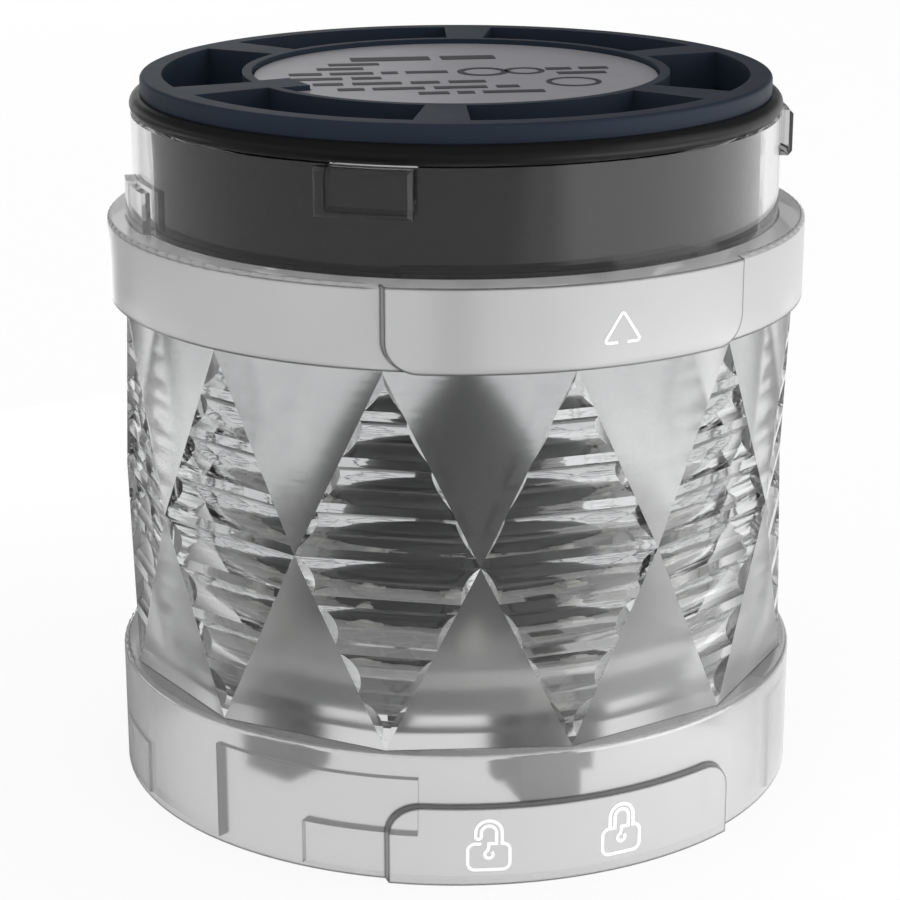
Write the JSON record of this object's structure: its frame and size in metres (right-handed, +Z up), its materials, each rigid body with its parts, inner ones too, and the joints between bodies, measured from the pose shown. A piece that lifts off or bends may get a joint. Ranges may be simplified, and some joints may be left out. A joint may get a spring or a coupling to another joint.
{
  "type": "stack light",
  "caption": "Clear faceted light tier of a stack light, with a bayonet socket at its foot and a bayonet plug under a spoked cover at its head.",
  "frame": {"origin": "centre of the face that the tier stands on, on the axis of its bayonet ring", "axes": "+Z up along the axis towards the spoked cover; -Y towards the middle of the grip tabs"},
  "size_m": [0.06, 0.0608, 0.0615],
  "materials": {
    "clear_plastic": "polished clear polycarbonate",
    "cup_plastic": "fine matt moulding, black",
    "navy_plastic": "fine matt moulding, dark navy",
    "label_film": "satin printed film",
    "seal_rubber": "smooth black rubber",
    "carrier_plastic": "matt moulding, dark grey plugs under a paler tray",
    "led_board_laminate": "white solder mask",
    "green_laminate": "green solder mask",
    "chip_resin": "black moulded resin",
    "coil_resin": "dark grey ferrite resin",
    "fuse_ceramic": "white ceramic",
    "capacitor_can": "plain sleeve and can",
    "reflector_finish": "smooth dark plastic",
    "contact_brass": "tinned brass",
    "led_package": "white package with a clear lens",
    "screw_steel": "zinc plated"
  },
  "bodies": {
    "root": {"base_screw_1": "screw_steel", "base_screw_2": "screw_steel", "base_screw_3": "screw_steel", "bridge_rectifier": "chip_resin", "choke_coil": "coil_resin", "cover_screw_1": "screw_steel", "cover_screw_2": "screw_steel", "cover_screw_3": "screw_steel", "driver_chip": "chip_resin", "fuse": "fuse_ceramic", "head_blade_1": "contact_brass", "head_blade_2": "contact_brass", "head_blade_3": "contact_brass", "head_blade_4": "contact_brass", "head_blade_5": "contact_brass", "head_blade_6": "contact_brass", "head_board": "green_laminate", "head_cup": "cup_plastic", "input_capacitor": "capacitor_can", "led_1": "led_package", "led_10": "led_package", "led_11": "led_package", "led_12": "led_package", "led_2": "led_package", "led_3": "led_package", "led_4": "led_package", "led_5": "led_package", "led_6": "led_package", "led_7": "led_package", "led_8": "led_package", "led_9": "led_package", "led_board": "led_board_laminate", "lens_body": "clear_plastic", "link_bar_1": "contact_brass", "link_bar_2": "contact_brass", "link_bar_3": "contact_brass", "link_bar_4": "contact_brass", "link_bar_5": "contact_brass", "link_bar_6": "contact_brass", "output_capacitor": "capacitor_can", "plug_carrier": "carrier_plastic", "plug_clip_1": "contact_brass", "plug_clip_2": "contact_brass", "plug_clip_3": "contact_brass", "plug_clip_4": "contact_brass", "plug_clip_5": "contact_brass", "plug_clip_6": "contact_brass", "rating_label": "label_film", "reflector": "reflector_finish", "seal_ring": "seal_rubber", "spoke_cover": "navy_plastic"}
  },
  "joints": []
}
